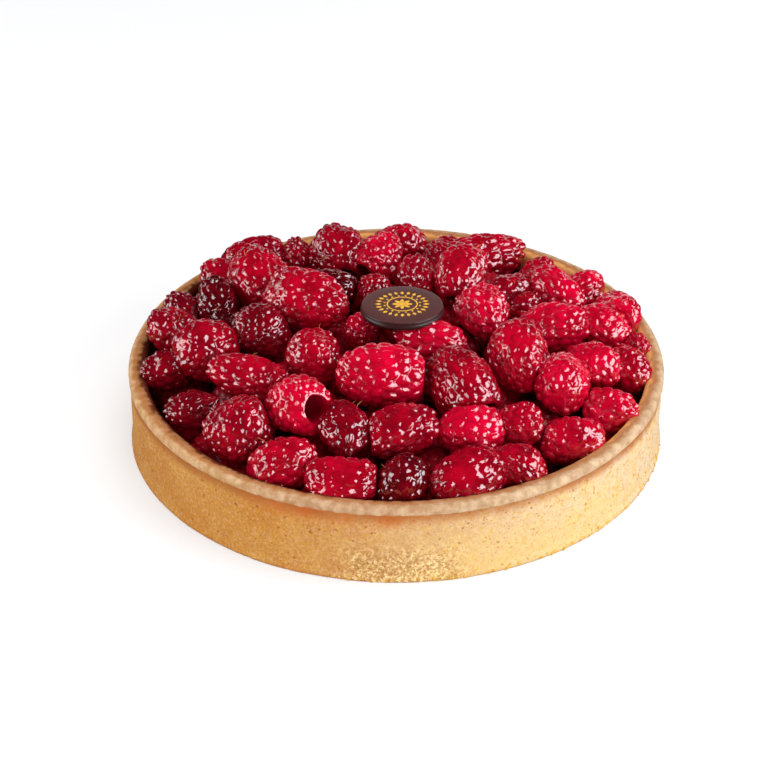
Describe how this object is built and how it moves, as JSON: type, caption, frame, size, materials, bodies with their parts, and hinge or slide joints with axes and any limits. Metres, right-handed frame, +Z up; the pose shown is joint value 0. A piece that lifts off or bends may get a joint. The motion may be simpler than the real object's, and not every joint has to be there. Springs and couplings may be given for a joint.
{
  "type": "raspberry tart",
  "caption": "Round open tart: a straight-sided golden shortcrust case filled to a low dome with whole glazed raspberries, with a small dark chocolate disc on top.",
  "frame": {"origin": "middle of the underside of the pastry case", "axes": "+Z up out of the tart; -Y towards the front, where the chocolate disc leans up from; +X to the right seen from the front"},
  "size_m": [0.1806, 0.1806, 0.0508],
  "materials": {
    "crust": "baked golden shortcrust, matt, fine pores and darker specks, browner at the groove under the rim and on the inner wall",
    "fruit_bed": "dark wet red of the berries that lie below the top ones",
    "raspberry": "deep crimson fruit under a clear wet glaze, each berry a little lighter or darker than the next",
    "chocolate": "satin dark chocolate with a plain ornament in edible gold"
  },
  "bodies": {
    "root": {"pastry_case": "crust", "fruit_bed": "fruit_bed", "raspberry_01": "raspberry", "raspberry_02": "raspberry", "raspberry_03": "raspberry", "raspberry_04": "raspberry", "raspberry_05": "raspberry", "raspberry_06": "raspberry", "raspberry_07": "raspberry", "raspberry_08": "raspberry", "raspberry_09": "raspberry", "raspberry_10": "raspberry", "raspberry_11": "raspberry", "raspberry_12": "raspberry", "raspberry_13": "raspberry", "raspberry_14": "raspberry", "raspberry_15": "raspberry", "raspberry_16": "raspberry", "raspberry_17": "raspberry", "raspberry_18": "raspberry", "raspberry_19": "raspberry", "raspberry_20": "raspberry", "raspberry_21": "raspberry", "raspberry_22": "raspberry", "raspberry_23": "raspberry", "raspberry_24": "raspberry", "raspberry_25": "raspberry", "raspberry_26": "raspberry", "raspberry_27": "raspberry", "raspberry_28": "raspberry", "raspberry_29": "raspberry", "raspberry_30": "raspberry", "raspberry_31": "raspberry", "raspberry_32": "raspberry", "raspberry_33": "raspberry", "raspberry_34": "raspberry", "raspberry_35": "raspberry", "raspberry_36": "raspberry", "raspberry_37": "raspberry", "raspberry_38": "raspberry", "raspberry_39": "raspberry", "raspberry_40": "raspberry", "raspberry_41": "raspberry", "raspberry_42": "raspberry", "raspberry_43": "raspberry", "raspberry_44": "raspberry", "raspberry_45": "raspberry", "raspberry_46": "raspberry", "raspberry_47": "raspberry", "raspberry_48": "raspberry", "raspberry_49": "raspberry", "raspberry_50": "raspberry", "raspberry_51": "raspberry", "raspberry_52": "raspberry", "raspberry_53": "raspberry", "raspberry_54": "raspberry", "raspberry_55": "raspberry", "raspberry_56": "raspberry", "raspberry_57": "raspberry", "chocolate_disc": "chocolate"}
  },
  "joints": []
}
